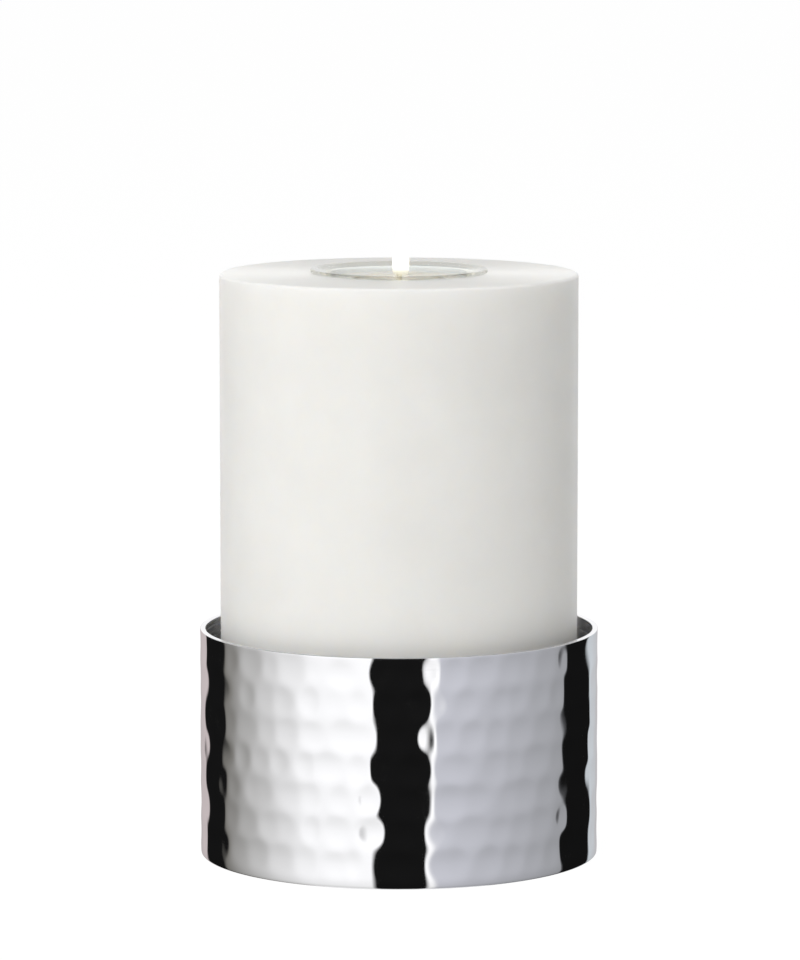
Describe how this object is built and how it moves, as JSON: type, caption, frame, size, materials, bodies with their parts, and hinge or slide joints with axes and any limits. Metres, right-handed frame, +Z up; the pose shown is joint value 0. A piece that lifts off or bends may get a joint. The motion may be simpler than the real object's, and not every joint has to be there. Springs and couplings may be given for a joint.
{
  "type": "candle ring",
  "caption": "Open hammered metal ring round the foot of a smooth refillable pillar candle, with a flanged glass insert in the candle's top that holds a tealight.",
  "frame": {"origin": "on the table, at the axis that the ring, the pillar and the tealight share", "axes": "+Z up along that axis; X and Y are free, because the object is round"},
  "size_m": [0.1116, 0.1116, 0.1678],
  "materials": {
    "plated_metal": "hammered, polished to a mirror",
    "pillar_wax": "smooth, satin",
    "clear_glass": "clear, fire polished",
    "clear_polycarbonate": "clear, moulded",
    "tealight_paraffin": "smooth, translucent",
    "tinned_steel": "stamped",
    "cotton": "braided, waxed"
  },
  "bodies": {
    "ring": {"hammered_ring": "plated_metal"},
    "candle": {"candle_body": "pillar_wax"},
    "glass": {"tealight_glass": "clear_glass"},
    "tealight": {"tealight_cup": "clear_polycarbonate", "tealight_wax": "tealight_paraffin", "wick_sustainer": "tinned_steel", "wick": "cotton"}
  },
  "joints": [
    {"name": "candle_lift", "type": "slide", "parent": "ring", "child": "candle", "axis": [0, 0, 1], "range_m": [0, 0.07]},
    {"name": "glass_lift", "type": "slide", "parent": "candle", "child": "glass", "axis": [0, 0, 1], "range_m": [0, 0.025]},
    {"name": "tealight_lift", "type": "slide", "parent": "glass", "child": "tealight", "axis": [0, 0, 1], "range_m": [0, 0.025]}
  ]
}
